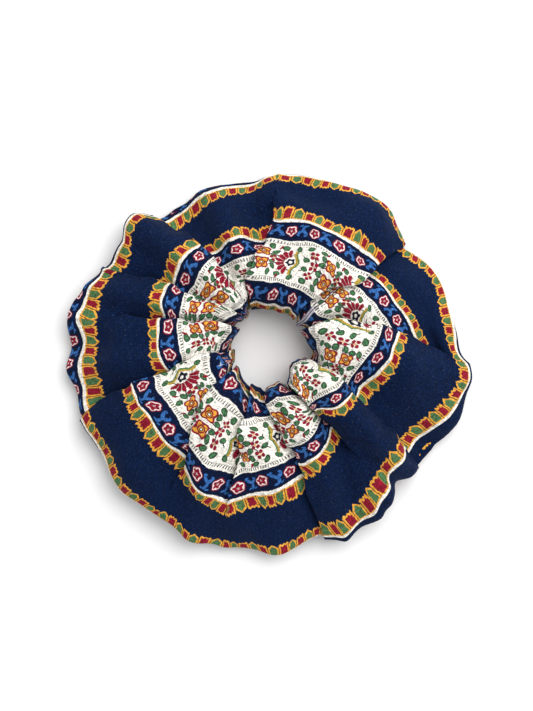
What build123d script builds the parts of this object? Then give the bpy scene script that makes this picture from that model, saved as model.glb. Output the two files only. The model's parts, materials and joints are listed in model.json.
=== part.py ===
"""A gathered fabric scrunchie: a printed cotton tube closed into a ring round a loop of flat elastic.

The strip of cloth is folded lengthwise and seamed at the ring's outer edge, its two short ends are
joined in a pinched closing seam, and the elastic inside is a strip whose ends are lapped and
zigzag-stitched. All lengths are in millimetres. Z is up, and the origin is under the middle of the
scrunchie's bounding box, on the surface that it lies on.
"""

from build123d import *
from math import cos, degrees, radians, sin
import os

# The ring
HOLE_RADIUS = 13.2  # free hole for the hair, relaxed
CROWN_HEIGHT = 17.0  # top of the gathered tube
CROWN_WAVE = 0.8  # how far each pleat rises and falls about that height
PLEATS = 15
EDGE_HEIGHT = 4.4  # mean height of the ruffled outer edge above the surface
EDGE_WAVE = 1.5
EDGE_WAVES = 5
WALL = 1.0  # the gathered cloth, two to three layers deep
WALL_AT_EDGE = 2.4  # the folded and seamed outer edge
INNER_LOW, INNER_HIGH = 3.6, 11.2  # heights between which the wall of the hole stands upright

# (direction in degrees, radius) of the crests and hollows of the outer edge, seen from above
OUTLINE = [
    (0, 54.8), (14, 52.4), (26, 51.0), (36, 48.2), (46, 50.4), (56, 49.8), (70, 49.4), (86, 50.4),
    (98, 47.8), (109, 48.8), (122, 51.2), (130, 51.8), (137, 54.6), (148, 52.2), (160, 54.8),
    (173, 60.6), (184, 59.6), (198, 58.8), (212, 58.8), (226, 59.2), (240, 59.4), (252, 60.0),
    (265, 60.8), (275, 60.0), (284, 58.6), (293, 59.4), (302, 57.6), (315, 50.4), (321, 54.6),
    (336, 56.6), (351, 57.6),
]

# The elastic: a flat braid standing on edge, its ends lapped
ELASTIC_RADIUS = 18.2  # to the middle of the braid
ELASTIC_WIDTH = 6.0
ELASTIC_THICKNESS = 1.2
ELASTIC_BOTTOM = 4.4
ELASTIC_CLEARANCE = 0.8  # from the gathered cloth on its inner side
LAP_GAP = 0.08  # between the lapped layers
LAP_DEGREES = 38.0
LAP_RAMP_DEGREES = 30.0
LAP_DIRECTION = 200.0  # of the middle of the lap

# Sewing
THREAD = 0.28  # thickness of the sewing thread
STITCH = 2.0
STITCH_PITCH = 2.5
SEAM_ALLOWANCE = 8.0
SEAM_LAYERS = 0.6  # two layers of cloth
SEAM_LINE = 4.2  # stitch line of the long seam, in from the outer edge
CLOSING_DIRECTION = 33.75
CLOSING_THICKNESS = 1.1
CLOSING_HEIGHT = 0.9  # how far the pinched seam stands proud of the tube
CLOSING_FLANK = 0.2  # how wide the foot of the pinched seam is on each side
ZIGZAG_WIDTH = 4.2
ZIGZAG_PITCH = 1.1
ZIGZAG_COUNT = 8

DIRECTION_STEP = 7.5  # between the sections of the ring


def smooth(t):
    """A blend from 0 to 1 with level ends."""
    t = min(1.0, max(0.0, t))
    return t * t * (3 - 2 * t)


def outline_radius(direction):
    """Radius of the outer edge in a direction, eased from one point of OUTLINE to the next."""
    ring = OUTLINE + [(OUTLINE[0][0] + 360, OUTLINE[0][1])]
    direction %= 360
    for (a, radius_a), (b, radius_b) in zip(ring, ring[1:]):
        if a <= direction <= b:
            return radius_a + (radius_b - radius_a) * smooth((direction - a) / (b - a))


def edge_height(direction):
    return EDGE_HEIGHT + EDGE_WAVE * sin(radians(direction * EDGE_WAVES))


def crown_height(direction):
    return CROWN_HEIGHT + CROWN_WAVE * cos(radians(direction * PLEATS))


def upright_plane(direction, shift=0.0):
    """The plane along the ring's axis in a direction, shifted sideways: X is outwards and Y is up."""
    a = radians(direction)
    origin = (-sin(a) * shift, cos(a) * shift, 0)
    return Plane(origin=origin, x_dir=(cos(a), sin(a), 0), z_dir=(sin(a), -cos(a), 0))


def cover_section(direction, proud=0.0):
    """Outside of the tube: over the crown from the outer edge, down the hole, and back below."""
    outer = outline_radius(direction) + proud
    inner = HOLE_RADIUS - proud
    edge = edge_height(direction)
    crown = crown_height(direction) + proud
    width = outer - inner
    rest_from, rest_to = inner + 0.14 * width, inner + 0.64 * width
    top = Spline(
        (outer, edge),
        (outer - 0.30 * width, edge + 0.62 * (crown - edge)),
        (inner + 0.28 * width, crown),
        (inner, INNER_HIGH),
        tangents=[(-1, 0.7), (0, -1)],
    )
    hole_side = Line(top @ 1, (inner, INNER_LOW))
    roll = Spline((inner, INNER_LOW), (rest_from, 0), tangents=[(0, -1), (1, 0)])
    rest = Line((rest_from, 0), (rest_to, 0))
    under = Spline((rest_to, 0), (outer, edge), tangents=[(1, 0), (1, 0.5)])
    return [top, hole_side, roll, rest, under]


def cavity_section(direction):
    """Inside of the tube, with the folded-in seam allowance reaching in from the outer edge."""
    outer = outline_radius(direction) - WALL_AT_EDGE
    inner = ELASTIC_RADIUS - ELASTIC_THICKNESS / 2 - ELASTIC_CLEARANCE
    edge = edge_height(direction)
    crown = crown_height(direction) - WALL
    width = outer - inner
    over, below = edge + SEAM_LAYERS / 2, edge - SEAM_LAYERS / 2
    top = Spline(
        (outer, over),
        (outer - 0.30 * width, edge + 0.60 * (crown - edge)),
        (inner + 0.26 * width, crown),
        (inner, INNER_HIGH),
        tangents=[(-1, 0.6), (0, -1)],
    )
    hole_side = Line(top @ 1, (inner, INNER_LOW))
    floor_from, floor_to = inner + 0.12 * width, inner + 0.62 * width
    roll = Spline((inner, INNER_LOW), (floor_from, WALL), tangents=[(0, -1), (1, 0)])
    floor = Line((floor_from, WALL), (floor_to, WALL))
    under = Spline((floor_to, WALL), (outer, below), tangents=[(1, 0), (1, 0.4)])
    tip = outer - SEAM_ALLOWANCE
    allowance = Polyline((outer, below), (tip, below), (tip, over), (outer, over))
    return [top, hole_side, roll, floor, under] + allowance.edges()


def ring_of(section_at):
    """A closed ring through evenly spaced upright sections."""
    count = round(360 / DIRECTION_STEP)
    return joined_halves([place(section_at, i * DIRECTION_STEP) for i in range(count + 1)])


def place(section_at, direction, shift=0.0, proud=0.0):
    """One section's wire in its own upright plane."""
    edges = section_at(direction, proud) if proud else section_at(direction)
    return upright_plane(direction, shift).from_local_coords(Wire(edges))


def joined_halves(wires):
    """A closed ring through the wires, made as two halves and joined."""
    middle = len(wires) // 2
    first = Solid.make_loft(wires[: middle + 1], ruled=True)
    second = Solid.make_loft(wires[middle:], ruled=True)
    return first.fuse(second)


def make_fabric_cover():
    """The tube with its pinched closing seam, its seam allowance inside and its flat underside."""
    wires = []
    foot = CLOSING_THICKNESS / 2 + CLOSING_FLANK
    flank = CLOSING_THICKNESS / 2
    for i in range(round(360 / DIRECTION_STEP) + 1):
        direction = i * DIRECTION_STEP
        if direction - DIRECTION_STEP < CLOSING_DIRECTION < direction:
            for shift, proud in ((-foot, 0), (-flank, CLOSING_HEIGHT), (flank, CLOSING_HEIGHT), (foot, 0)):
                wires.append(place(cover_section, CLOSING_DIRECTION, shift, proud))
        wires.append(place(cover_section, direction))
    return joined_halves(wires) - ring_of(cavity_section)


def elastic_radius_at(turn):
    """Radius of the braid's middle after it has run this many degrees from its inner end."""
    ramp = smooth((turn - (360 - LAP_RAMP_DEGREES)) / LAP_RAMP_DEGREES)
    return ELASTIC_RADIUS + ramp * (ELASTIC_THICKNESS + LAP_GAP)


def polar(radius, direction, height=0.0):
    a = radians(direction)
    return Vector(radius * cos(a), radius * sin(a), height)


def make_elastic_band():
    """A strip bent round once and lapped over its own beginning."""
    half = ELASTIC_THICKNESS / 2
    begin = LAP_DIRECTION - LAP_DEGREES / 2
    ramp_begin = 360 - LAP_RAMP_DEGREES

    def side(offset):
        def at(turn):
            return polar(elastic_radius_at(turn) + offset, begin + turn)

        first = ThreePointArc(at(0), at(ramp_begin / 2), at(ramp_begin))
        last = ThreePointArc(at(360), at(360 + LAP_DEGREES / 2), at(360 + LAP_DEGREES))
        ramp_points = [at(ramp_begin + LAP_RAMP_DEGREES * i / 6) for i in range(7)]
        ramp = Spline(*ramp_points, tangents=[first % 1, last % 0])
        return [first, ramp, last]

    inner, outer = side(-half), side(half)
    ends = [Line(inner[0] @ 0, outer[0] @ 0), Line(inner[-1] @ 1, outer[-1] @ 1)]
    strip = Solid.extrude(Face(Wire(inner + outer + ends)), Vector(0, 0, ELASTIC_WIDTH))
    return strip.moved(Location((0, 0, ELASTIC_BOTTOM)))


def stitch(start, end):
    """One straight run of thread between two points."""
    run = end - start
    return Solid.make_cylinder(THREAD / 2, run.length, Plane(origin=start, z_dir=run))


def make_zigzag(radius):
    """The zigzag that holds the lap, on one face of the braid."""
    middle = ELASTIC_BOTTOM + ELASTIC_WIDTH / 2
    step = degrees(ZIGZAG_PITCH / ELASTIC_RADIUS)
    first = LAP_DIRECTION - step * ZIGZAG_COUNT / 2
    low, high = middle - ZIGZAG_WIDTH / 2, middle + ZIGZAG_WIDTH / 2
    runs = []
    for i in range(ZIGZAG_COUNT):
        start = polar(radius, first + i * step, low)
        end = polar(radius, first + (i + 0.5) * step, high)
        runs.append(stitch(start, end))
    return Compound(children=runs)


def make_long_seam(side):
    """Stitches of the long seam on one side of the seam allowance, all the way round."""

    def seam_point(direction):
        height = edge_height(direction) + side * SEAM_LAYERS / 2
        return polar(outline_radius(direction) - SEAM_LINE, direction, height)

    runs = []
    direction = 0.0
    while direction < 358:
        per_mm = degrees(1 / (outline_radius(direction) - SEAM_LINE))
        runs.append(stitch(seam_point(direction), seam_point(direction + STITCH * per_mm)))
        direction += STITCH_PITCH * per_mm
    return Compound(children=runs)


def make_closing_seam(side):
    """Stitches of the closing seam on one side of the pinched ridge, over the top of the tube."""
    plane = upright_plane(CLOSING_DIRECTION, side * CLOSING_THICKNESS / 2)
    line = cover_section(CLOSING_DIRECTION, CLOSING_HEIGHT / 2)[0]
    count = int(line.length / STITCH_PITCH)
    runs = []
    for i in range(count):
        start = plane.from_local_coords(line @ (i / count))
        end = plane.from_local_coords(line @ ((i + STITCH / STITCH_PITCH) / count))
        runs.append(stitch(start, end))
    return Compound(children=runs)


def main():
    os.makedirs("parts", exist_ok=True)
    cover = make_fabric_cover()
    box = cover.bounding_box()
    to_origin = Location((-box.center().X, -box.center().Y, -box.min.Z))
    nodes = {
        "fabric_cover": cover,
        "elastic_band": make_elastic_band(),
        "elastic_lap_needle_thread": make_zigzag(ELASTIC_RADIUS + 1.5 * ELASTIC_THICKNESS + LAP_GAP),
        "elastic_lap_bobbin_thread": make_zigzag(ELASTIC_RADIUS - ELASTIC_THICKNESS / 2),
        "long_seam_needle_thread": make_long_seam(1),
        "long_seam_bobbin_thread": make_long_seam(-1),
        "closing_seam_needle_thread": make_closing_seam(1),
        "closing_seam_bobbin_thread": make_closing_seam(-1),
    }
    for name, shape in nodes.items():
        export_step(shape.moved(to_origin), f"parts/{name}.step")
    centre = to_origin.position
    print(f"ring axis at X {centre.X:.3f} Y {centre.Y:.3f}, size {box.size}")


main()
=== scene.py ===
"""The look of the gathered, printed scrunchie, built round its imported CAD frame. Lengths are in metres."""

import json
import math

import bpy
import numpy as np
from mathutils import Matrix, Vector


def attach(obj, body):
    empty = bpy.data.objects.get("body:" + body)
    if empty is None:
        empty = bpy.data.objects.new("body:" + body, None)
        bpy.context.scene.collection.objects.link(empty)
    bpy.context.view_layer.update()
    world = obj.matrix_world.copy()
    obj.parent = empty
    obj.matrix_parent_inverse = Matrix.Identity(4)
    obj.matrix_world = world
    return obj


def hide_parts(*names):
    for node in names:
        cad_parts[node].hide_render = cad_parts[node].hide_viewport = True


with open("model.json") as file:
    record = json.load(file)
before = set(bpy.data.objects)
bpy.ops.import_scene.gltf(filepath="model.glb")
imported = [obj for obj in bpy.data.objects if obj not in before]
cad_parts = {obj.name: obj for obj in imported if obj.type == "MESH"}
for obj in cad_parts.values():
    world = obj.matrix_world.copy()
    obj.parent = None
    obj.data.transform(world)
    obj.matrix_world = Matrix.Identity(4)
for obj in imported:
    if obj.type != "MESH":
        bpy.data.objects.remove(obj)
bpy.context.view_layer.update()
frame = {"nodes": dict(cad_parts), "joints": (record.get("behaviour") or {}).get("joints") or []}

MM = 0.001

# ------------------------------------------------ the cloth's shape, in millimetres
HOLE = 13.2  # radius of the hair hole, before its edge gets its own outline
TUBE = 110.0  # round the tube, from the seam at the outer edge and back to it
MID_ROW = 22.6  # the row, round the tube, of the white line half way up
RIM_ROW = 52.0  # the row taken as the hole's edge
UNDER_ROW = 56.0  # the row where the sections of the top end and those of the underside start
FLAT_ROW = 60.0  # the row from which the cloth counts as lying underneath
CLOTH = 0.4
LAYER_OVER, LAYER_MIDDLE, LAYER_UNDER = 2.4, 0.5, -1.4  # a pleat's three layers, off the tube's surface
FOLD_ROUND = 1.0  # how far a pleat's folded edge bulges
SHOULDER, SHOULDER_DROP = 2.4, 1.0  # how the cloth falls away towards a folded edge
PUFF = 1.9  # how high the cloth stands between pleats
PUFF_WIDTH = 16.0  # the width of a panel that stands as high as that

# How far the outer edge lies from the middle of the hole, by direction
OUTLINE = [
    (-48, 53.4), (-42, 55.4), (-30, 57.0), (-20, 58.2), (-10, 58.4), (0, 55.2), (8, 52.8), (16, 52.8),
    (27, 51.4), (38, 49.6), (46, 51.6), (58, 50.8), (70, 50.4), (87, 50.6), (100, 48.2), (112, 49.4),
    (123, 51.2), (132, 52.4), (136, 55.8), (145, 54.4), (152, 52.2), (159, 55.4), (172, 60.6), (188, 59.8),
    (200, 59.6), (215, 59.2), (228, 60.0), (241, 59.6), (257, 60.6), (270, 61.2), (285, 58.0), (294, 60.0),
    (303, 59.0),
]
# And the hole's own edge
RIM = [
    (20, 12.7), (45, 12.0), (65, 12.8), (90, 13.3), (120, 13.6), (132, 12.4), (150, 14.6), (175, 13.0),
    (198, 14.0), (219, 14.2), (248, 13.4), (265, 13.4), (282, 12.8), (298, 13.6), (308, 10.0), (325, 9.4),
    (337, 10.4), (352, 12.2),
]

# Panels of cloth between pleats, counter-clockwise. Each row of a panel is a line at some distance from
# the middle of the hole, square to the way the panel faces there. The columns are: facing and distance
# at the middle row, facing and distance at the outer edge, how straight it lies (1) rather than curving
# with the ring (0), how far it stands up, how far the print's white line lies in from the outer edge,
# and how far in the long seam has rolled over to the top, if it has.
PANELS = {
    "A": (-32, 31.2, -30, 53.6, 0.95, 0.6, 4.2, 4.2),
    "B": (42, 34.5, 28, 47.8, 0.90, -0.4, 0.4),
    "C": (70, 34.3, 64, 47.6, 0.65, 1.2, -0.9),
    "D": (114, 33.2, 104, 49.0, 0.60, -0.6, 3.0),
    "E": (142, 35.0, 148, 52.0, 0.80, 2.2, 2.0),
    "F": (173, 34.3, 154, 54.8, 0.70, 0.2, 3.2),
    "G": (188, 34.7, 187, 58.2, 0.60, 0.8, 4.8),
    "H": (209, 39.7, 218, 57.2, 0.90, 1.4, 0.5),
    "I": (233, 43.0, 246, 58.8, 0.85, 0.0, -0.4),
    "J": (293, 37.4, 275, 59.2, 0.80, 0.4, -0.3),
    "K": (322, 30.7, 314, 54.5, 0.60, -0.6, 2.4, 2.4),
    "L": (285, 23.5, 326, 50.6, 0.60, 4.6, 5.2, 5.2),
}
# The pleat after each panel: its directions at the radii below, which panel lies on top there (-1 this
# one, 1 the next), how deep it folds at the outer edge, and the row from which it gets deeper.
PLEAT_RADII = (14.0, 22.0, 30.0, 40.0, 56.0)
PLEATS = [
    ((27, 19, 9, 3, -6), -1, 0.3, 7),
    ((52, 49, 37, 39, 39), 1, 1.8, 2),
    ((115, 108, 91, 89, 88), -1, 0.0, 9),
    ((125, 123, 124, 128, 134), 1, 2.6, 2),
    ((141, 145.5, 149.5, 153, 155), 1, 1.0, 5),
    ((155, 161, 166.5, 170, 172), 1, 0.0, 9),
    ((188, 190, 192, 195.5, 200), 1, 1.4, 3),
    ((210, 218, 225.5, 232, 236), 1, 0.0, 12),
    ((246, 250, 252.5, 254.5, 257), 1, 0.0, 17),
    ((268, 274, 281, 283, 287), 1, 1.8, 3),
    ((299, 304, 307.5, 309, 309), 1, 0.0, 12),
    ((340, 333, 326.5, 324, 317), -1, 3.0, 0),
]
INNER_DEPTH = 6.0  # of every pleat towards the hole
DEEPENS = 13.0  # the distance over which a pleat gets that deep
# The share of the panel on top that a pleat may take, and less where that panel also goes under another
MOST_OF_PANEL, MOST_OF_STEP = 0.6, 0.36
LEAST_DEPTH, LEAST_WIDTH = 0.3, 0.8  # the least that this limit and a panel's width come to
LAYERED_DEPTH = 3.2  # the depth from which a pleat's layers stand fully apart
ROUNDED_DEPTH = 2.5  # the depth from which its folded edges bulge fully
JOINED_DEPTH = 3.5  # the depth under which the panels either side come together
FLAT_DEPTH = 1.4  # the depth under which the cloth between them runs on flat
SEAMLESS = 0.25  # half of the cloth over which a pleat that has faded out runs on flat
HELD_UP = 0.65  # how much of a panel's height stays where it meets its neighbour over such a pleat
MEETING = 0.6  # the share of a panel's width over which it bends to meet a neighbour
CLOSING_DIRECTION, CLOSING_ROW = 40.0, 46.0  # the closing seam has this direction on this row
CLOSING_RIDGE = 0.9  # how high it stands
CURVES_WITHIN = 9.0  # how near the hole's edge a straight panel starts to curve with it
EDGE_REACH, RIM_REACH = 24.0, 22.0  # how far round the tube the two outlines above pull on the cloth
GATHERS, GATHER_HEIGHT = 13, 1.4  # round the hole

# Soft folds within the panels: directions near the hole and at the edge, how high, and how wide
SOFT_FOLDS = [
    (60, 52, 1.7, 4.0), (78, 74, -1.8, 4.5), (100, 97, -1.9, 3.5), (108, 112, 1.8, 3.5),
    (118, 122, -1.6, 3.0), (143, 144, -1.4, 3.5), (159, 162, 1.7, 3.0), (177, 180, -1.7, 4.0),
    (184, 187, 1.6, 3.5), (203, 212, -1.9, 4.5), (222, 224, 1.4, 4.0), (240, 246, 1.7, 5.0),
    (262, 266, -1.7, 5.0), (292, 292, 1.5, 4.0), (305, 297, -2.2, 3.0), (322, 309, 2.8, 4.2),
    (338, 328, -1.8, 4.0), (0, 352, 1.7, 5.0), (20, 12, -1.5, 4.0), (34, 26, 1.6, 4.0),
]

# The tube's section over the top and under: distance round it, share of the way out, height
OUTER_TOP = [(0, 1.0), (4, 0.86), (9, 0.66), (15, 0.37), (MID_ROW, 0.0)]
INNER_TOP = [
    (MID_ROW, 1.0), (28.8, 0.79), (36, 0.50), (41, 0.30), (44.5, 0.17), (48, 0.07), (RIM_ROW, 0.0),
    (UNDER_ROW, -0.02),
]
UNDER = [
    (UNDER_ROW, -0.03), (FLAT_ROW, 0.0), (64, 0.07), (71, 0.20), (85, 0.52), (98, 0.80), (105, 0.92),
    (TUBE, 1.0),
]
HEIGHT = [
    (0, 0.0), (4, 2.3), (9, 4.8), (15, 7.6), (MID_ROW, 10.6), (28.8, 12.2), (36, 13.0), (41, 12.6),
    (44.5, 11.3), (48, 8.8), (RIM_ROW, 4.8), (UNDER_ROW, 0.8), (FLAT_ROW, -1.8), (64, -2.9), (71, -3.2),
    (85, -3.2), (98, -2.6), (105, -1.4), (TUBE, 0.0),
]
EDGE = 5.0  # height of the outer edge, before its waves
TOP_ROW = 41.0  # the last row used to read a point's height from how far out it lies
BLEND_FROM, BLEND_OVER = 37.0, 8.0  # the rows over which its height comes to go by its own row instead
PRESSED = 1.5  # how far up from the table the cloth is pressed by its own weight
SMOOTHING_PASSES, SMOOTHING = 5, 0.45  # how often, and how far, each point moves towards its neighbours' mean

PANEL_COLUMNS = 30
FOLD_COLUMNS = 18
ROWS = 140


def smooth(t):
    t = np.clip(t, 0.0, 1.0)
    return t * t * (3 - 2 * t)


def short_way(turn):
    """A turn in degrees, taken the short way round."""
    return (turn + 180) % 360 - 180


def curve(table, x):
    """A smooth curve through a table of (place, value) rows, read at x."""
    table = np.array(table, float)
    xs, y = table[:, 0], table[:, 1]
    i = np.clip(np.searchsorted(xs, x, side="right") - 1, 0, len(xs) - 2)
    h = xs[i + 1] - xs[i]
    t = (x - xs[i]) / h
    slope = np.gradient(y, xs)
    return (
        (2 * t**3 - 3 * t**2 + 1) * y[i] + (t**3 - 2 * t**2 + t) * slope[i] * h
        + (3 * t**2 - 2 * t**3) * y[i + 1] + (t**3 - t**2) * slope[i + 1] * h
    )


def ripple(x, y, seed):
    """Smooth, repeatable unevenness over a plane, about -1 to 1."""
    waves = np.random.default_rng(seed)
    total = np.zeros(np.broadcast(x, y).shape)
    for frequency, weight in ((1.0, 1.0), (1.9, 0.5), (3.1, 0.3)):
        for _ in range(4):
            a, b, c = waves.uniform(-1, 1), waves.uniform(-1, 1), waves.uniform(0, 2 * math.pi)
            total = total + weight * 0.5 * np.sin(frequency * (a * x + b * y) * 2.2 + c)
    return total / 1.4


class Panel:
    """One panel's rows: how each faces, how far out it lies, and how far its cloth has slid along."""

    def __init__(self, facing_mid, out_mid, facing_edge, out_edge, straight, lift, inset, seam_in=0.0):
        u = round_tube
        from_flat = smooth((u - FLAT_ROW) / (TUBE - FLAT_ROW))
        outward = np.where(u < UNDER_ROW, smooth(1 - u / MID_ROW), from_flat)
        self.facing = np.radians(facing_mid + short_way(facing_edge - facing_mid) * outward)
        top = out_mid + (out_edge - out_mid) * curve(OUTER_TOP, np.minimum(u, MID_ROW))
        inner = HOLE + (out_mid - HOLE) * curve(INNER_TOP, np.clip(u, MID_ROW, UNDER_ROW))
        under = HOLE + (out_edge - HOLE) * curve(UNDER, np.clip(u, UNDER_ROW, TUBE))
        self.out = np.where(u < MID_ROW, top, np.where(u < UNDER_ROW, inner, under))
        self.keep = straight * smooth((self.out - HOLE) / CURVES_WITHIN)
        step = np.diff(self.facing, prepend=self.facing[:1])
        self.slid = np.cumsum(step * self.out)
        self.slid -= self.slid[np.argmin(abs(u - MID_ROW))]
        self.height = np.full(ROWS, lift)
        self.inset = inset
        self.seam_in = seam_in

    def lie_between(self, directions_before, directions_after):
        """Take the room between two pleats."""
        self.start = self.along_at(directions_before)
        self.end = self.along_at(directions_after)
        self.width = np.maximum(self.end - self.start, LEAST_WIDTH)
        self.plump = np.clip(self.width / PUFF_WIDTH, 0.1, 1.3)

    def point(self, t):
        """Where the points t along the rows lie in plan."""
        a, out = self.facing, self.out
        flat_x = out * np.cos(a) - t * np.sin(a)
        flat_y = out * np.sin(a) + t * np.cos(a)
        turn = a + t / out
        return np.stack([
            self.keep * flat_x + (1 - self.keep) * out * np.cos(turn),
            self.keep * flat_y + (1 - self.keep) * out * np.sin(turn),
        ], axis=-1)

    def heading(self, t):
        """The way its rows run at the points t."""
        step = self.point(t + 0.25) - self.point(t - 0.25)
        return step / np.linalg.norm(step, axis=-1, keepdims=True)

    def along_at(self, directions):
        """How far along its rows a pleat with these directions crosses them."""
        t = np.zeros_like(self.out)
        for _ in range(60):
            p = self.point(t)
            radius = np.hypot(p[:, 0], p[:, 1])
            here = np.degrees(np.arctan2(p[:, 1], p[:, 0]))
            wanted = np.interp(radius, PLEAT_RADII, directions)
            t = t + 0.5 * np.radians(short_way(wanted - here)) * radius
        return t


round_tube = np.linspace(0, TUBE, ROWS, endpoint=False)
from_edge = np.minimum(round_tube, TUBE - round_tube)
panels = [Panel(*values) for values in PANELS.values()]
count = len(panels)
for i, panel in enumerate(panels):
    panel.lie_between(PLEATS[i - 1][0], PLEATS[i][0])

# Where each panel lies along the strip: the cloth runs on without a break along the outer edge, and what
# it doesn't need further in is taken up in the pleats
places = [0.0]
for i in range(count):
    panel, following = panels[i], panels[(i + 1) % count]
    to_next = panel.end[0] + panel.slid[0] - following.start[0] - following.slid[0]
    places.append(places[i] + to_next + 2 * PLEATS[i][2] + 2 * SEAMLESS)
STRIP = places[-1]

# How deep each pleat is on each row, and so how far apart its layers stand
spans, depths, strengths = [], [], []
for i in range(count):
    panel, following = panels[i], panels[(i + 1) % count]
    _, side, edge_depth, first_row = PLEATS[i]
    spans.append((places[i + 1] + following.start + following.slid) - (places[i] + panel.end + panel.slid))
    over = panel if side < 0 else following
    stepped = PLEATS[(i + side) % count][1] == side
    most = (MOST_OF_STEP if stepped else MOST_OF_PANEL) * over.width
    depth = edge_depth + (INNER_DEPTH - edge_depth) * smooth((from_edge - first_row) / DEEPENS)
    depths.append(np.clip(depth, 0.0, np.maximum(most, LEAST_DEPTH)))
    strengths.append(smooth(depths[i] / LAYERED_DEPTH))

# Where a pleat has faded out, the rows of the panels either side meet end to end
joined_start, joined_end, faded_pleats, flat_pleats = [None] * count, [None] * count, [], []
for i in range(count):
    panel, following = panels[i], panels[(i + 1) % count]
    here, there = panel.point(panel.end), following.point(following.start)
    faded = (1 - smooth(depths[i] / JOINED_DEPTH))[:, None]
    flat = (1 - smooth(depths[i] / FLAT_DEPTH))[:, None]
    onward = (panel.heading(panel.end) + following.heading(following.start)) / 2 * SEAMLESS * flat
    joined_end[i] = (there - here) / 2 * faded - onward
    joined_start[(i + 1) % count] = (here - there) / 2 * faded + onward
    faded_pleats.append(faded[:, 0])
    flat_pleats.append(flat)


def near_start(w):
    """How much a panel bends, at w of the way across, to meet the neighbour before it."""
    return smooth((MEETING - w) / MEETING)


def near_end(w):
    """The same for the neighbour after it."""
    return smooth((w - (1 - MEETING)) / MEETING)


def across_panel(i, name, w):
    """A panel's value at w of the way across, meeting its neighbours' half way where pleats have faded."""
    own, before, after = (getattr(panels[(i + k) % count], name) for k in (0, -1, 1))
    at_start = (before - own) / 2 * faded_pleats[i - 1] * near_start(w)
    at_end = (after - own) / 2 * faded_pleats[i] * near_end(w)
    return own + at_start + at_end


def across_fold(i, name, w):
    """The value at w of the way from a panel's end to the start of the next."""
    first, last = across_panel(i, name, 1.0), across_panel((i + 1) % count, name, 0.0)
    return first + (last - first) * w


def standing(arch, held):
    """A share of the full height, kept from falling to nothing where the cloth is held up."""
    return arch + np.maximum(HELD_UP - arch, 0) * held


underneath = smooth((round_tube - RIM_ROW) / (FLAT_ROW - RIM_ROW))
flatten = 1 - 0.4 * underneath  # the layers lie closer together on the side that it rests on
calm = (1 - 0.8 * underneath)[:, None]  # and the cloth is smoother there


# The next two functions give columns of points, one after another along the strip. For every row a column
# has the place in plan, the height off the tube's surface, the place along the flat strip, how far the
# panel stands up, how far the print lies in, and how far in the long seam has rolled.
def panel_columns(i):
    """The columns across one panel."""
    panel = panels[i]
    side_in, side_out = PLEATS[i - 1][1], PLEATS[i][1]
    layer_start = (LAYER_OVER if side_in > 0 else LAYER_UNDER) * strengths[i - 1]
    layer_end = (LAYER_OVER if side_out < 0 else LAYER_UNDER) * strengths[i]
    for k in range(PANEL_COLUMNS):
        w = 0.5 - 0.5 * math.cos(math.pi * (k + 0.5) / PANEL_COLUMNS)
        t = panel.start + panel.width * w
        held = faded_pleats[i - 1] * smooth((0.5 - w) / 0.5) + faded_pleats[i] * smooth((w - 0.5) / 0.5)
        arch = math.sin(math.pi * w)
        puff = PUFF * across_panel(i, "plump", w) * standing(arch**1.5, held)
        shoulder = np.zeros(ROWS)
        if side_in > 0:
            shoulder += strengths[i - 1] * np.exp(-(t - panel.start) / SHOULDER)
        if side_out < 0:
            shoulder += strengths[i] * np.exp(-(panel.end - t) / SHOULDER)
        leaning = layer_start * (1 - smooth(w / 0.7)) + layer_end * smooth((w - 0.3) / 0.7)
        yield (
            panel.point(t) + joined_start[i] * near_start(w) + joined_end[i] * near_end(w),
            (leaning + puff - SHOULDER_DROP * shoulder) * flatten,
            places[i] + panel.slid + t,
            across_panel(i, "height", w) * standing(arch**0.7, held),
            across_panel(i, "inset", w),
            across_panel(i, "seam_in", w),
        )


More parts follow.
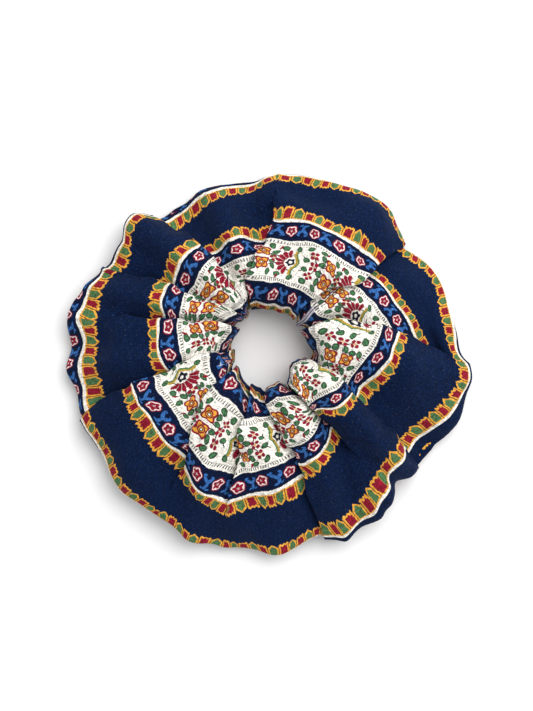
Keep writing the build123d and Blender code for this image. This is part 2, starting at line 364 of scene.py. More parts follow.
def fold_columns(i):
    """The columns through the folded layers of the pleat after one panel."""
    panel, following = panels[i], panels[(i + 1) % count]
    strength, depth = strengths[i], depths[i]
    shift_here, shift_there = joined_end[i], joined_start[(i + 1) % count]
    here, there = panel.point(panel.end) + shift_here, following.point(following.start) + shift_there
    level_over, level_under = (LAYER_OVER - SHOULDER_DROP) * strength, LAYER_UNDER * strength
    if PLEATS[i][1] < 0:
        turn_a, turn_b = here, following.point(following.start - depth) + shift_there
        way_a = panel.heading(panel.end)
        way_b = -following.heading(following.start - depth)
        level_a, level_b = level_over, level_under
    else:
        turn_a, turn_b = panel.point(panel.end + depth) + shift_here, there
        way_a = panel.heading(panel.end + depth)
        way_b = -following.heading(following.start)
        level_a, level_b = level_under, level_over
    level_mid = LAYER_MIDDLE * strength
    rounding = (FOLD_ROUND * np.minimum(1.0, depth / ROUNDED_DEPTH))[:, None]
    # Its parts: where each begins and its share of the columns, from and to which point it runs and how
    # far it bulges on the way, and from and to which level
    parts = [
        (0.00, 0.20, here, turn_a, 0.0, level_a, level_a),
        (0.20, 0.22, turn_a, turn_a, way_a * rounding, level_a, level_mid),
        (0.42, 0.16, turn_a, turn_b, 0.0, level_mid, level_mid),
        (0.58, 0.22, turn_b, turn_b, way_b * rounding, level_mid, level_b),
        (0.80, 0.20, turn_b, there, 0.0, level_b, level_b),
    ]
    shares = [(k + 0.5) / FOLD_COLUMNS for k in range(FOLD_COLUMNS)]
    points, levels = [], []
    for w in shares:
        begin, share, from_point, to_point, bulge, from_level, to_level = [p for p in parts if p[0] <= w][-1]
        v = (w - begin) / share
        folded = from_point + (to_point - from_point) * v + bulge * math.sin(math.pi * v)
        straight = here + (there - here) * w
        points.append(folded + (straight - folded) * flat_pleats[i])
        levels.append(from_level + (to_level - from_level) * float(smooth(v)))

    # The cloth keeps its length on the parts of the fold that show; what is left over is hidden inside
    steps = np.linalg.norm(np.diff(np.stack([here, *points, there]), axis=0), axis=2)
    travelled = np.cumsum(steps, axis=0)
    left_over = spans[i] - travelled[-1]
    held = HELD_UP * faded_pleats[i]
    for k, w in enumerate(shares):
        hidden = smooth((w - 0.40) / 0.20)
        yield (
            points[k],
            (levels[k] + PUFF * across_panel(i, "plump", 1.0) * held) * flatten,
            places[i] + panel.end + panel.slid + travelled[k] + left_over * hidden,
            across_panel(i, "height", 1.0) * held,
            across_fold(i, "inset", hidden),
            across_fold(i, "seam_in", hidden),
        )


columns = []
for i in range(count):
    columns.extend(panel_columns(i))
    columns.extend(fold_columns(i))
plan, layer, along, lift, inset, seam_in = (np.stack(values, axis=1) for values in zip(*columns))
u_grid = np.broadcast_to(round_tube[:, None], along.shape)


def polar(points):
    """Each point's direction from the middle of the hole, in radians, and its distance."""
    x, y = points[..., 0], points[..., 1]
    return np.arctan2(y, x), np.maximum(np.hypot(x, y), 1e-6)


def by_direction(table, directions):
    """A closed curve through a table of (direction, value) rows, read at directions in radians."""
    return np.interp(np.degrees(directions), [row[0] for row in table], [row[1] for row in table], period=360)


def hump(middle, spread):
    """A band of rows round the tube, 1 in its middle and fading either side."""
    return np.exp(-(((u_grid - middle) / spread) ** 2))


# Bring the outer edge and the hole's edge to their own outlines
direction, radius = polar(plan)
outward = smooth(1 - from_edge / EDGE_REACH)[:, None]
inward = smooth(1 - abs(round_tube - RIM_ROW) / RIM_REACH)[:, None]
to_outline = by_direction(OUTLINE, direction[0]) / radius[0] - 1
to_rim = by_direction(RIM, direction[int(RIM_ROW / TUBE * ROWS)]) / HOLE - 1
stretch = 1 + to_outline * outward + to_rim * inward
plan = plan * stretch[..., None]
for scale, reach, seed in ((0.20, 0.9, 31), (0.45, 0.35, 41)):
    x, y = plan[..., 0] * scale, plan[..., 1] * scale
    plan = plan + reach * np.stack([ripple(x, y, seed), ripple(x, y, seed + 1)], axis=-1)
direction, radius = polar(plan)

# Crumples: gathers at the hole, creases in the middle of the cloth, and slow waves everywhere. They go by
# the place in plan, so that the layers of a pleat move together and stay in order.
x, y = plan[..., 0], plan[..., 1]
gathers = abs(np.sin(direction * (GATHERS / 2) + 0.9 * ripple(x * 0.12, y * 0.12, 5)))
layer = layer + GATHER_HEIGHT * (gathers**0.7 - 0.4) * hump(47, 9)
layer = layer + 0.7 * hump(37, 12) * ripple(x * 0.26, y * 0.26, 3)
layer = layer + calm * ripple(x * 0.15, y * 0.15, 11)
layer = layer + lift * hump(13, 13)
for near_hole, at_edge, high, wide in SOFT_FOLDS:
    line = np.radians(near_hole + short_way(at_edge - near_hole) * np.clip((radius - 18) / 34, 0, 1))
    away = radius * np.sin(direction - line) / wide
    facing_it = np.cos(direction - line) > 0
    layer = layer + high * calm * facing_it * np.exp(-(away**2)) * smooth((radius - 13) / 8)

# The closing seam, in panel B, stands up as a narrow ridge where the strip's ends are joined
in_b = slice(PANEL_COLUMNS + FOLD_COLUMNS, 2 * PANEL_COLUMNS + FOLD_COLUMNS)
closing_row = int(CLOSING_ROW / TUBE * ROWS)
nearest = np.argmin(abs(np.degrees(direction[closing_row, in_b]) - CLOSING_DIRECTION))
closing_along = along[closing_row, in_b][nearest]
layer = layer + CLOSING_RIDGE * np.exp(-(((along - closing_along) / 0.55) ** 2)) * hump(RIM_ROW, 22)

# Lift the plan onto the tube. Over the top the height goes by how far out a point lies, so that layers of
# neighbouring panels stay in order, and round the hole and underneath by its place round the tube.
share = np.clip((radius - HOLE) / (by_direction(OUTLINE, direction) - HOLE), 0.0, 1.0)
row_height = curve(HEIGHT, round_tube)
mean_out = np.mean([panel.out for panel in panels], axis=0)
mean_share = (mean_out - HOLE) / (mean_out[0] - HOLE)
top_rows = round_tube <= TOP_ROW
height_by_share = np.interp(share, mean_share[top_rows][::-1], row_height[top_rows][::-1])
by_share = 1 - smooth((u_grid - BLEND_FROM) / BLEND_OVER)
height = height_by_share * by_share + row_height[:, None] * (1 - by_share)
edge_wave = 1.5 * np.sin(5 * direction + 0.4) + 0.7 * np.sin(11 * direction)
height = height + EDGE + edge_wave * (hump(0, 12) + hump(TUBE, 12))
out_step = np.gradient(mean_out, round_tube)
up_step = np.gradient(row_height, round_tube)
step_size = np.hypot(out_step, up_step)
normal_out, normal_up = (up_step / step_size)[:, None], (-out_step / step_size)[:, None]
surface = np.stack([
    plan[..., 0] + plan[..., 0] / radius * normal_out * layer,
    plan[..., 1] + plan[..., 1] / radius * normal_out * layer,
    height + normal_up * layer,
], axis=-1)
for _ in range(SMOOTHING_PASSES):
    beside = sum(np.roll(surface, step, axis) for axis in (0, 1) for step in (1, -1))
    surface = surface + SMOOTHING * (beside / 4 - surface)
creases = 0.16 * ripple(along * 0.75, u_grid * 0.45, 23) * hump(34, 16)
wrinkles = creases + 0.10 * ripple(along * 0.5, u_grid * 0.5, 29)
surface[..., 2] += wrinkles * (1 - underneath[:, None])
# What would hang below the table is pressed flat on it, layer on layer
near_table = surface[..., 2] < PRESSED
surface[..., 2] = np.where(near_table, PRESSED * np.exp(surface[..., 2] / PRESSED - 1), surface[..., 2])

hinge = frame["joints"][0]["pos_m"]
surface[..., 0] += hinge[0] / MM
surface[..., 1] += hinge[1] / MM
surface[..., 2] -= surface[..., 2].min()


def closed(values, along_step, round_step):
    """A grid with its first column and then its first row repeated at the end, a whole turn further on."""
    values = np.concatenate([values, values[:, :1] + along_step], axis=1)
    return np.concatenate([values, values[:1] + round_step], axis=0)


def sheet_mesh(name, points, uv_sets):
    """A tube closed both ways from a grid of points, with the cloth's own coordinates on it."""
    rows, cols = points.shape[:2]
    mesh = bpy.data.meshes.new(name)
    r, c = np.meshgrid(np.arange(rows), np.arange(cols), indexing="ij")
    corner = np.stack([(r, c), (r, c + 1), (r + 1, c + 1), (r + 1, c)], axis=-1)  # 2, rows, cols, 4
    index = (corner[0] % rows) * cols + corner[1] % cols
    mesh.from_pydata((points.reshape(-1, 3) * MM).tolist(), [], index.reshape(-1, 4).tolist())
    for label, (u, v) in uv_sets.items():
        wide, tall = closed(u, STRIP, 0.0), closed(v, 0.0, TUBE)
        uv_layer = mesh.uv_layers.new(name=label)
        data = np.stack([wide[corner[0], corner[1]], tall[corner[0], corner[1]]], axis=-1)
        uv_layer.data.foreach_set("uv", data.reshape(-1))
    mesh.shade_smooth()
    obj = bpy.data.objects.new(name, mesh)
    bpy.context.scene.collection.objects.link(obj)
    return obj


cover = sheet_mesh("printed_cover", surface, {
    "cloth": (along, u_grid - inset),
    "seams": (along - closing_along, u_grid - seam_in),
})
solid = cover.modifiers.new("thickness", "SOLIDIFY")
solid.thickness = CLOTH * MM
solid.offset = -1
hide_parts("fabric_cover")
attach(cover, "cover")
(STRIP + 16) * MM


# ------------------------------------------------ the print
COLOUR_A, COLOUR_B, MIXED = 6, 7, 2  # where a Mix node has its two colours and its result


class Value:
    """A number in a node tree, so that a pattern can be written as arithmetic."""

    def __init__(self, tree, source):
        self.tree, self.source = tree, source

    def combine(self, operation, *others):
        node = self.tree.nodes.new("ShaderNodeMath")
        node.operation = operation
        for socket, value in zip(node.inputs, (self, *others)):
            if isinstance(value, Value):
                self.tree.links.new(value.source, socket)
            else:
                socket.default_value = value
        return Value(self.tree, node.outputs[0])

    def __add__(self, other):
        return self.combine("ADD", other)

    def __sub__(self, other):
        return self.combine("SUBTRACT", other)

    def __mul__(self, other):
        return self.combine("MULTIPLY", other)

    def __rsub__(self, whole):
        return self * -1.0 + whole

    def absolute(self):
        return self.combine("ABSOLUTE")

    def cosine(self):
        return self.combine("COSINE")

    def least(self, other):
        return self.combine("MINIMUM", other)

    def repeat(self, period):
        return self.combine("FLOORED_MODULO", period)

    def every(self, period):
        """The distance past the middle of each repeat."""
        return self.repeat(period) - period / 2

    def angle_from(self, along_x):
        """The angle of the direction whose height this is and whose run along x is given."""
        return self.combine("ARCTAN2", along_x)

    def below(self, limit, soft=0.07):
        """1 where the value is under the limit, 0 over it, with a soft edge this wide."""
        node = self.tree.nodes.new("ShaderNodeMapRange")
        node.clamp = True
        self.tree.links.new(self.source, node.inputs["Value"])
        ends = {"From Min": limit - soft, "From Max": limit + soft, "To Min": 1.0, "To Max": 0.0}
        for name, value in ends.items():
            node.inputs[name].default_value = value
        return Value(self.tree, node.outputs["Result"])


class Print:
    """Builds the printed cotton's nodes. Positions are millimetres on the flat cloth."""

    def __init__(self, tree):
        self.tree = tree
        self.colour = None

    def node(self, kind, **inputs):
        node = self.tree.nodes.new(kind)
        for name, value in inputs.items():
            socket = node.inputs[name.replace("_", " ")]
            if isinstance(value, Value):
                self.tree.links.new(value.source, socket)
            elif hasattr(value, "links"):
                self.tree.links.new(value, socket)
            else:
                socket.default_value = value
        return node

    def point(self, x, y):
        node = self.node("ShaderNodeCombineXYZ", X=x, Y=y)
        return node.outputs[0]

    def split(self, vector):
        node = self.node("ShaderNodeSeparateXYZ", Vector=vector)
        return Value(self.tree, node.outputs[0]), Value(self.tree, node.outputs[1])

    def noise(self, vector, scale, detail=2.0, roughness=0.5):
        node = self.node("ShaderNodeTexNoise", Vector=vector, Scale=scale, Detail=detail, Roughness=roughness)
        return Value(self.tree, node.outputs["Fac"]), node.outputs["Color"]

    def local(self, vector, x, y, turn=0.0, size=(1.0, 1.0)):
        """The vector in the frame of a motif placed at x, y, turned by degrees, and of this size."""
        node = self.node("ShaderNodeMapping", Vector=vector)
        node.vector_type = "TEXTURE"
        node.inputs["Location"].default_value = (x, y, 0)
        node.inputs["Rotation"].default_value = (0, 0, math.radians(turn))
        node.inputs["Scale"].default_value = (size[0], size[1], 1)
        return node.outputs[0]

    def length(self, vector):
        node = self.tree.nodes.new("ShaderNodeVectorMath")
        node.operation = "LENGTH"
        self.tree.links.new(vector, node.inputs[0])
        return Value(self.tree, node.outputs["Value"])

    def ellipses(self, vector, places):
        """How far out a point is from the nearest of several ellipses: 1 on an edge."""
        nearest = None
        for x, y, turn, half_length, half_width in places:
            out = self.length(self.local(vector, x, y, turn, (half_length, half_width)))
            nearest = out if nearest is None else nearest.least(out)
        return nearest

    def petals(self, vector, x, y, petal_count, depth, turn=0.0):
        """Distance from a flower's middle, drawn in between its petals."""
        here = self.local(vector, x, y, turn)
        px, py = self.split(here)
        angle = py.angle_from(px)
        return self.length(here) - (angle * float(petal_count)).cosine() * depth

    def four_petals(self, vector, places, reach):
        """Distance from the nearest of the four petals' middles of several small flowers."""
        nearest = None
        for x, y, turn in places:
            across, up = self.split(self.local(vector, x, y, turn))
            out = self.length(self.point(across.absolute() - reach, up.absolute() - reach))
            nearest = out if nearest is None else nearest.least(out)
        return nearest

    def paint(self, mask, colour):
        """Lay a colour over what is painted so far, where the mask is 1."""
        node = self.tree.nodes.new("ShaderNodeMix")
        node.data_type = "RGBA"
        self.tree.links.new(mask.source, node.inputs[0])
        if self.colour is None:
            node.inputs[COLOUR_A].default_value = (*NAVY, 1)
        else:
            self.tree.links.new(self.colour, node.inputs[COLOUR_A])
        node.inputs[COLOUR_B].default_value = (*colour, 1)
        self.colour = node.outputs[MIXED]


def linear(r, g, b):
    """A colour typed as 0 to 255 screen values, as the renderer's own."""
    return tuple(((c / 255 + 0.055) / 1.055) ** 2.4 if c > 10 else c / 255 / 12.92 for c in (r, g, b))


NAVY = linear(6, 24, 56)
DEEP_NAVY = linear(6, 20, 50)
CREAM = linear(236, 232, 222)
CRIMSON = linear(134, 24, 44)
YELLOW = linear(226, 162, 62)
GREEN = linear(84, 122, 78)
LEAF = linear(74, 120, 80)
DARK_LEAF = linear(22, 52, 34)
BLUE = linear(44, 92, 156)
PALE_BLUE = linear(92, 140, 190)
OLIVE = linear(176, 146, 58)
INK = linear(24, 26, 40)
BROWN = linear(52, 24, 22)
PALE_PINK = linear(240, 222, 220)
PALE_EDGE = linear(186, 180, 192)
LINT = linear(150, 156, 176)

PLAIN, FRINGE, LINE, FLORAL, HALF_CREAM = 6.2, 4.1, 1.0, 6.2, 7.2  # the bands, the first and last halved
HALF_REPEAT = PLAIN + FRINGE + LINE + FLORAL + HALF_CREAM  # the bands are mirrored either side of a middle
NAVY_MIDDLE = LINE + FRINGE + PLAIN  # from the outer edge to the middle of the plain band
FRINGE_STEP, FLORAL_STEP, CREAM_STEP = 5.8, 7.3, 19.6  # how often each band's motifs come again
COMB_STEP, JAG_STEP = 0.72, 0.97  # from tooth to tooth of the cream band's edge and the fringe's
COMB_IN = 0.85  # how far the comb lies inside the cream band
CARNATION_AT = -6.6  # along the cream band's repeat
MISMATCH = 3.4  # how far the print is out of step at the closing seam
THREAD_PITCH = 0.42  # from thread to thread of the weave
SEAM_SHOWN, SEAM_REACH = 50.0, 7.0  # the part of the closing seam, by row, where its pale edges show


def printed_cotton():
    material = bpy.data.materials.new("printed_cotton_canvas")
    material.use_nodes = True
    tree = material.node_tree
    tree.nodes.clear()
    p = Print(tree)
    uv = tree.nodes.new("ShaderNodeUVMap")
    uv.uv_map = "cloth"
    flat = uv.outputs[0]
    _, wobble = p.noise(flat, 1.1)  # the print's edges waver a little
    drift = p.node("ShaderNodeVectorMath", Vector=wobble)
    drift.operation = "MULTIPLY_ADD"
    drift.inputs[1].default_value = (0.5, 0.5, 0)
    tree.links.new(flat, drift.inputs[2])
    s, v = p.split(drift.outputs[0])
    seam_uv = tree.nodes.new("ShaderNodeUVMap")
    seam_uv.uv_map = "seams"
    from_closing, past_long = p.split(seam_uv.outputs[0])
    s = s + from_closing.below(0.0, 0.02) * MISMATCH

    turn = (v - NAVY_MIDDLE).repeat(2 * HALF_REPEAT)  # 0 at the middle of the plain navy band
    q = HALF_REPEAT - (turn - HALF_REPEAT).absolute()  # distance from that middle, the same both ways
    edge_line = PLAIN + FRINGE
    edge_floral = edge_line + LINE
    edge_cream = edge_floral + FLORAL

    # Fringe: crimson blocks and green arrowheads outlined in yellow
    f = q - PLAIN  # 0 at the tips, FRINGE at the white line
    pair = s.repeat(FRINGE_STEP)
    block = (pair - FRINGE_STEP / 4).absolute()
    arrow = (pair - FRINGE_STEP * 3 / 4).absolute()
    jag = s.every(JAG_STEP).absolute()
    block_tip = jag * 0.9 + 0.15
    arrow_tip = arrow * 0.95 - 0.1
    is_block = block.below(1.42)
    tip = arrow_tip + (block_tip - arrow_tip) * is_block
    in_fringe = (tip - f).below(0.0) * q.below(edge_line)
    p.paint(in_fringe, YELLOW)
    across = block.least(arrow)
    core = (tip + 0.55 + across * 0.2 - f).below(0.0) * across.below(0.98) * (f - FRINGE + 0.35).below(0.0)
    p.paint(core * in_fringe * is_block, CRIMSON)
    not_block = 1.0 - is_block
    p.paint(core * in_fringe * not_block, GREEN)
    hatch = (s + f * 1.4).every(0.62)
    p.paint(core * in_fringe * not_block * hatch.absolute().below(0.08) * 0.7, DARK_LEAF)
    between = (FRINGE_STEP / 4 - across).below(0.1)
    p.paint(between * in_fringe, BROWN)

    # White line
    in_line = (edge_line - q).below(0.0) * q.below(edge_floral)
    p.paint(in_line, CREAM)

    # Navy band with red and white flowers and blue birds
    g = q - (edge_floral + FLORAL / 2)
    in_floral = g.absolute().below(FLORAL / 2)
    p.paint(in_floral, DEEP_NAVY)
    floral = p.point(s.every(FLORAL_STEP), g)
    petals = p.petals(floral, -1.85, 0.0, 5, 0.13, 20)
    p.paint(petals.below(1.80) * in_floral, CRIMSON)
    p.paint(petals.below(1.52) * in_floral, PALE_PINK)
    heart = p.petals(floral, -1.85, 0.0, 5, 0.24, 20)
    p.paint(heart.below(1.18) * in_floral, CRIMSON)
    p.paint(heart.below(0.16) * in_floral, PALE_PINK)
    birds = p.ellipses(floral, [
        (1.35, 0.45, -38, 1.20, 0.50), (2.60, 0.40, 40, 1.15, 0.48), (2.10, -0.95, 78, 1.05, 0.46),
        (0.75, 1.45, 20, 0.65, 0.32), (3.2, 1.40, -25, 0.60, 0.32), (1.30, -1.75, 15, 0.65, 0.30),
        (2.9, -1.75, 30, 0.60, 0.30),
    ])
    p.paint(birds.below(1.0, 0.12) * in_floral, BLUE)
    feathers = (s + g * 1.3).every(0.8)
    p.paint(birds.below(0.75) * feathers.absolute().below(0.05) * in_floral, PALE_BLUE)

    # Cream band with combs, carnations, flowers and leaves
    in_cream = (edge_cream - q).below(0.0)
    p.paint(in_cream, CREAM)
    c = HALF_REPEAT - q  # distance from the band's middle
    y = turn - HALF_REPEAT  # the same, with its side
    comb_at = HALF_CREAM - COMB_IN
    comb = s.every(COMB_STEP).absolute().below(0.13) * (c - comb_at).absolute().below(0.42)
    p.paint(comb * in_cream, INK)
    p.paint((c - comb_at + 0.45).absolute().below(0.05) * 0.6 * in_cream, INK)

    x = s.every(CREAM_STEP)
    band = p.point(x, y)
    mirrored = p.point(x, c)
    stems = p.ellipses(mirrored, [
        (-2.2, 1.6, 28, 2.4, 0.16), (2.3, 1.2, -24, 2.6, 0.15), (5.9, 1.1, 62, 1.7, 0.14),
        (-6.0, 2.1, -38, 1.9, 0.15), (9.2, 1.8, 40, 1.6, 0.15),
    ])
    p.paint(stems.below(1.0) * in_cream, INK)
    leaves = p.ellipses(mirrored, [
        (-3.6, 4.5, 28, 1.05, 0.70), (-1.7, 2.7, -38, 1.0, 0.64), (-0.4, 4.7, 60, 0.95, 0.64),
        (-1.2, 1.2, 20, 0.85, 0.55), (4.0, 3.1, 62, 1.05, 0.70), (4.4, 5.0, -14, 0.95, 0.64),
        (4.3, 1.2, -24, 0.95, 0.64), (8.0, 4.6, -30, 1.0, 0.68), (-7.8, 4.6, 40, 0.95, 0.64),
        (8.5, 1.2, -12, 0.9, 0.60),
    ])
    p.paint(leaves.below(1.12, 0.1) * in_cream, DARK_LEAF)
    p.paint(leaves.below(0.78, 0.1) * in_cream, LEAF)
    veins = (s + c * 0.8).every(0.9)
    p.paint(leaves.below(0.7, 0.1) * veins.absolute().below(0.09) * in_cream, DARK_LEAF)

    # Carnation: a fan of frilled petals opening along the band from a dark eye, over a winged calyx
    fan = p.local(band, CARNATION_AT, 0.0)
    fx, fy = p.split(fan)
    fan_angle = fy.angle_from(fx)
    fan_out = p.length(fan)
    petal_wave = (fan_angle * 15.0).cosine()
    frill = petal_wave * 0.30 + (fan_angle * 61.0).cosine() * 0.14
    fan_mask = (fan_out - frill).below(4.1) * fan_angle.absolute().below(1.45) * (1.75 - fan_out).below(0.0)
    p.paint(fan_mask * in_cream, CRIMSON)
    p.paint(fan_mask * petal_wave.below(-0.97, 0.04) * in_cream, CREAM)
    eye = p.petals(band, CARNATION_AT, 0.0, 5, 0.20, 90)
    p.paint(eye.below(1.25) * in_cream, INK)
    p.paint(fan_out.below(0.48) * in_cream, CREAM)
    calyx = fx + 2.0 - fy.absolute().least(2.6) * 0.50
    calyx_span = fy.absolute().below(4.0)
    p.paint((calyx + 0.52).absolute().below(0.26) * calyx_span * in_cream, LEAF)
    p.paint(calyx.absolute().below(0.34) * calyx_span * in_cream, OLIVE)

    # A pair of yellow flowers across the band, and small red ones between
    pair_flower = p.petals(mirrored, 1.5, 2.15, 4, 0.36, 45)
    p.paint(pair_flower.below(1.88) * in_cream, CRIMSON)
    p.paint(pair_flower.below(1.36) * in_cream, YELLOW)
    pair_heart = p.length(p.local(mirrored, 1.5, 2.15))
    p.paint((pair_heart - 0.80).absolute().below(0.17) * in_cream, CRIMSON)
    p.paint(pair_heart.below(0.46) * in_cream, INK)
    p.paint(pair_heart.below(0.22) * in_cream, CREAM)
    red_places = [(6.6, -2.8, 10), (-1.5, -0.2, 40), (6.9, 2.8, 35), (6.2, 0.0, 0)]
    red_petals = p.four_petals(band, red_places, 0.58)
    p.paint(red_petals.below(0.52) * in_cream, CRIMSON)
    red_hearts = p.ellipses(band, [(x, y_at, 0, 0.24, 0.24) for x, y_at, _ in red_places])
    p.paint(red_hearts.below(1.0) * in_cream, YELLOW)
    buds = p.ellipses(band, [
        (-3.5, 5.2, 70, 0.8, 0.3), (-2.4, -4.6, 80, 0.8, 0.26), (3.2, -5.2, 60, 0.8, 0.3),
    ])
    p.paint(buds.below(1.0) * in_cream, CRIMSON)

    # Seams: plain cloth beyond the long seam, a thin line of painted shade along the long seam where its
    # groove would be, and the closing seam's folded edges
    p.paint(past_long.below(0.0), NAVY)
    # painted shade: a thin darker line along the long seam, standing in for the shade in its groove
    p.paint(past_long.absolute().below(0.10, 0.05), DEEP_NAVY)
    closing = from_closing.absolute()
    shown = (past_long - SEAM_SHOWN).absolute().below(SEAM_REACH, 1.0)
    p.paint(closing.below(0.62) * shown, PALE_EDGE)
    p.paint(closing.below(0.12), INK)

    # Painted highlights and shade on the weave's thread crossings, random tone from slubs, grain and fading,
    # and lint
    sx, sy = p.split(flat)
    warp = (sx * (2 * math.pi / THREAD_PITCH)).cosine()
    weft = (sy * (2 * math.pi / THREAD_PITCH)).cosine()
    weave = warp * weft
    slub, _ = p.noise(p.point(sx * 0.35, sy * 3.0), 1.6, 3.0, 0.6)
    slub_across, _ = p.noise(p.point(sx * 3.0, sy * 0.35), 1.6, 3.0, 0.6)
    fade, _ = p.noise(flat, 0.06, 3.0, 0.6)
    speck, _ = p.noise(flat, 2.6, 2.0, 0.7)
    grain, _ = p.noise(flat, 1.5, 2.0, 0.6)
    # the weave term paints thread crossings lighter and the gaps between them darker, as painted light and
    # shade; slubs, grain and fading add random tone
    thread_light_and_tone = weave * 0.16
    for unevenness, strength in ((slub, 2.3), (slub_across, 2.0), (grain, 1.4), (fade, 0.4)):
        thread_light_and_tone = thread_light_and_tone + (unevenness - 0.5) * strength
    thread_light_and_tone = thread_light_and_tone + 1.0
    tinted = p.node("ShaderNodeVectorMath", Vector=p.colour)
    tinted.operation = "SCALE"
    tree.links.new(thread_light_and_tone.source, tinted.inputs["Scale"])
    p.colour = tinted.outputs[0]
    lint = speck.below(0.33, 0.05)
    p.paint(lint * 0.18, LINT)

    relief = weave * 0.5 + (slub - 0.5) * 1.4 + (slub_across - 0.5) * 1.4
    bump = p.node("ShaderNodeBump", Height=relief, Distance=0.00008, Strength=0.55)
    shader = tree.nodes.new("ShaderNodeBsdfPrincipled")
    tree.links.new(p.colour, shader.inputs["Base Color"])
    tree.links.new(bump.outputs[0], shader.inputs["Normal"])
    rough = (slub - 0.5) * 0.2 + 0.86
    tree.links.new(rough.source, shader.inputs["Roughness"])
    shader.inputs["Specular IOR Level"].default_value = 0.08
    shader.inputs["Sheen Weight"].default_value = 0.04
    shader.inputs["Sheen Roughness"].default_value = 0.45
    shader.inputs["Sheen Tint"].default_value = (0.55, 0.68, 1.0, 1)
    output = tree.nodes.new("ShaderNodeOutputMaterial")
    tree.links.new(shader.outputs[0], output.inputs[0])
    return material


cover.data.materials.append(printed_cotton())


def plied_thread(name, colour, pitch):
    """Twisted thread or braid: ridges that wind round it, with uneven dye."""
    material = bpy.data.materials.new(name)
    material.use_nodes = True
    tree = material.node_tree
    shader = tree.nodes["Principled BSDF"]
    place = tree.nodes.new("ShaderNodeTexCoord")
    ridges = tree.nodes.new("ShaderNodeTexWave")
    ridges.wave_type = "BANDS"
    ridges.bands_direction = "DIAGONAL"
    ridges.inputs["Scale"].default_value = 1 / pitch
    ridges.inputs["Distortion"].default_value = 1.5
    tree.links.new(place.outputs["Object"], ridges.inputs["Vector"])
    dye = tree.nodes.new("ShaderNodeTexNoise")
    dye.inputs["Scale"].default_value = 900.0
    tree.links.new(place.outputs["Object"], dye.inputs["Vector"])
    blend = tree.nodes.new("ShaderNodeMix")
    blend.data_type = "RGBA"
    tree.links.new(dye.outputs["Fac"], blend.inputs[0])
    blend.inputs[COLOUR_A].default_value = (*[c * 0.7 for c in colour], 1)
    blend.inputs[COLOUR_B].default_value = (*[min(1.0, c * 1.25) for c in colour], 1)
    tree.links.new(blend.outputs[MIXED], shader.inputs["Base Color"])
    bump = tree.nodes.new("ShaderNodeBump")
    bump.inputs["Distance"].default_value = 0.0001
    tree.links.new(ridges.outputs["Fac"], bump.inputs["Height"])
    tree.links.new(bump.outputs[0], shader.inputs["Normal"])
    shader.inputs["Roughness"].default_value = 0.6
    shader.inputs["Sheen Weight"].default_value = 0.2
    return material


thread_material = plied_thread("sewing_thread_twist", linear(22, 28, 60), 0.0009)
elastic_material = plied_thread("elastic_braid", linear(226, 224, 216), 0.0016)
for name in ("elastic_lap_needle_thread", "elastic_lap_bobbin_thread"):
    frame["nodes"][name].data.materials.clear()
    frame["nodes"][name].data.materials.append(thread_material)
frame["nodes"]["elastic_band"].data.materials.clear()
frame["nodes"]["elastic_band"].data.materials.append(elastic_material)


# ------------------------------------------------ the seams' stitches
SEAM_ROW = 4.0 / TUBE * ROWS  # the long seam's stitch line, in from the outer edge
LONG_SEAM_THREAD, CLOSING_SEAM_THREAD = 0.28, 0.24  # how thick each seam's thread is
THREAD_APART = 0.35  # from the middle of the long seam's layers to either of its threads
COVERED_COLUMNS = 1.6  # what a stitch of the long seam covers of every two of the sheet's columns
FLANK = 0.62  # from the closing seam's line to the stitches on either side
CLOSING_FROM, CLOSING_TO = 36, 104  # the rows, round the tube, between which that seam's stitches lie
STITCH_STEP, STITCH_LENGTH = 2.2, 1.7
STITCH_RINGS = ((0.0, 0.55), (0.15, 1.0), (0.85, 1.0), (1.0, 0.55))  # how far along, and how wide there


def read_surface(points, column, row):
    """A point of a closed grid between its columns and rows."""
    rows, cols = points.shape[:2]
    c0, r0 = int(math.floor(column)), int(math.floor(row))
    fc, fr = column - c0, row - r0
    a = points[r0 % rows, c0 % cols] * (1 - fc) + points[r0 % rows, (c0 + 1) % cols] * fc
    b = points[(r0 + 1) % rows, c0 % cols] * (1 - fc) + points[(r0 + 1) % rows, (c0 + 1) % cols] * fc
    return a * (1 - fr) + b * fr


def stitches(name, runs, thickness, replaced):
    """One mesh of short six-sided runs of thread, each from one point to another."""
    vertices, faces = [], []
    for start, end in runs:
        axis = end - start
        span = np.linalg.norm(axis)
        if span < 1e-6:
            continue
        axis = axis / span
        side = np.cross(axis, (0.3, 0.2, 1.0))
        side /= np.linalg.norm(side)
        other = np.cross(axis, side)
        first = len(vertices)
        for where, wide in STITCH_RINGS:
            for k in range(6):
                a = math.pi * k / 3
                off_axis = (side * math.cos(a) + other * math.sin(a)) * thickness / 2 * wide
                vertices.append(start + axis * span * where + off_axis)
        last = first + 6 * (len(STITCH_RINGS) - 1)
        for ring in range(first, last, 6):
            for k in range(6):
                m = (k + 1) % 6
                faces.append((ring + k, ring + m, ring + 6 + m, ring + 6 + k))
        faces.append(tuple(first + k for k in reversed(range(6))))
        faces.append(tuple(last + k for k in range(6)))
    mesh = bpy.data.meshes.new(name)
    mesh.from_pydata((np.array(vertices) * MM).tolist(), [], faces)
    mesh.shade_smooth()
    mesh.materials.append(thread_material)
    obj = bpy.data.objects.new(name, mesh)
    bpy.context.scene.collection.objects.link(obj)
    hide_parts(replaced)
    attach(obj, "cover")
    return obj


for side, label in ((THREAD_APART, "needle"), (-THREAD_APART, "bobbin")):
    runs = []
    for first in range(0, len(columns) - 1, 2):
        ends = []
        for column in (first, first + COVERED_COLUMNS):
            top = read_surface(surface, column, SEAM_ROW)
            under = read_surface(surface, column, -SEAM_ROW)
            ends.append((top + under) / 2 + np.array((0, 0, side)))
        runs.append(ends)
    stitches(f"long_seam_{label}_stitches", runs, LONG_SEAM_THREAD, f"long_seam_{label}_thread")

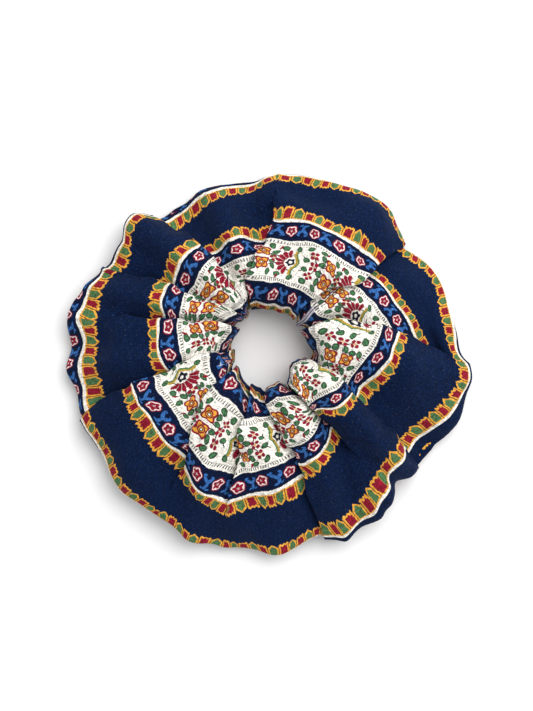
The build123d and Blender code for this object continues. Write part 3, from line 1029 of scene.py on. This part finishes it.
# The closing seam's stitches lie on both flanks of its ridge
for shift, label in ((FLANK, "needle"), (-FLANK, "bobbin")):
    line = []
    for row in range(int(CLOSING_FROM / TUBE * ROWS), int(CLOSING_TO / TUBE * ROWS)):
        column = np.interp(closing_along + shift, along[row, in_b], np.arange(in_b.start, in_b.stop))
        line.append(read_surface(surface, column, row))
    line = np.array(line)
    travelled = np.concatenate([[0], np.cumsum(np.linalg.norm(np.diff(line, axis=0), axis=1))])
    runs = []
    for at in np.arange(0.5, travelled[-1] - 2.0, STITCH_STEP):
        pair = (at, at + STITCH_LENGTH)
        runs.append([np.array([np.interp(x, travelled, values) for values in line.T]) for x in pair])
    stitches(f"closing_seam_{label}_stitches", runs, CLOSING_SEAM_THREAD, f"closing_seam_{label}_thread")


# ------------------------------------------------ the table, light and camera
floor_material = bpy.data.materials.new("white_table")
floor_material.use_nodes = True
floor_shader = floor_material.node_tree.nodes["Principled BSDF"]
floor_shader.inputs["Base Color"].default_value = (0.97, 0.97, 0.97, 1)
floor_shader.inputs["Roughness"].default_value = 0.9
floor_mesh = bpy.data.meshes.new("table_top")
REACH = 3.0  # from its middle to each side
floor_corners = [(x * REACH, y * REACH, 0) for x, y in ((-1, -1), (1, -1), (1, 1), (-1, 1))]
floor_mesh.from_pydata(floor_corners, [], [(0, 1, 2, 3)])
floor_mesh.materials.append(floor_material)
floor = bpy.data.objects.new("table_top", floor_mesh)
bpy.context.scene.collection.objects.link(floor)


def area_light(name, place, width, power):
    """A round lamp that faces the origin."""
    data = bpy.data.lights.new(name, "AREA")
    data.shape = "DISK"
    data.size = width
    data.energy = power
    obj = bpy.data.objects.new(name, data)
    obj.location = place
    obj.rotation_euler = (-Vector(place)).to_track_quat("-Z", "Y").to_euler()
    bpy.context.scene.collection.objects.link(obj)


area_light("window", (0.34, 0.40, 0.74), 0.95, 7.8)

world = bpy.data.worlds.new("studio")
bpy.context.scene.world = world
world.use_nodes = True
world.node_tree.nodes["Background"].inputs[0].default_value = (1, 1, 1, 1)
world.node_tree.nodes["Background"].inputs[1].default_value = 0.68
bpy.context.scene.view_settings.view_transform = "Standard"

camera_data = bpy.data.cameras.new("camera")
camera = bpy.data.objects.new("camera", camera_data)
bpy.context.scene.collection.objects.link(camera)
bpy.context.scene.camera = camera
camera_data.lens = 85
camera_data.sensor_fit = "VERTICAL"
camera_data.sensor_height = 36
FRAME_TALL = 0.2091  # height of the picture at the scrunchie, in metres
MID_HEIGHT = 0.008  # and how high over the table that is taken
MIDDLE_BEHIND = 0.0025  # how far the picture's middle lies behind the origin
distance = FRAME_TALL * camera_data.lens / camera_data.sensor_height
camera.location = (0.0, MIDDLE_BEHIND, distance + MID_HEIGHT)
camera.rotation_euler = (0, 0, 0)
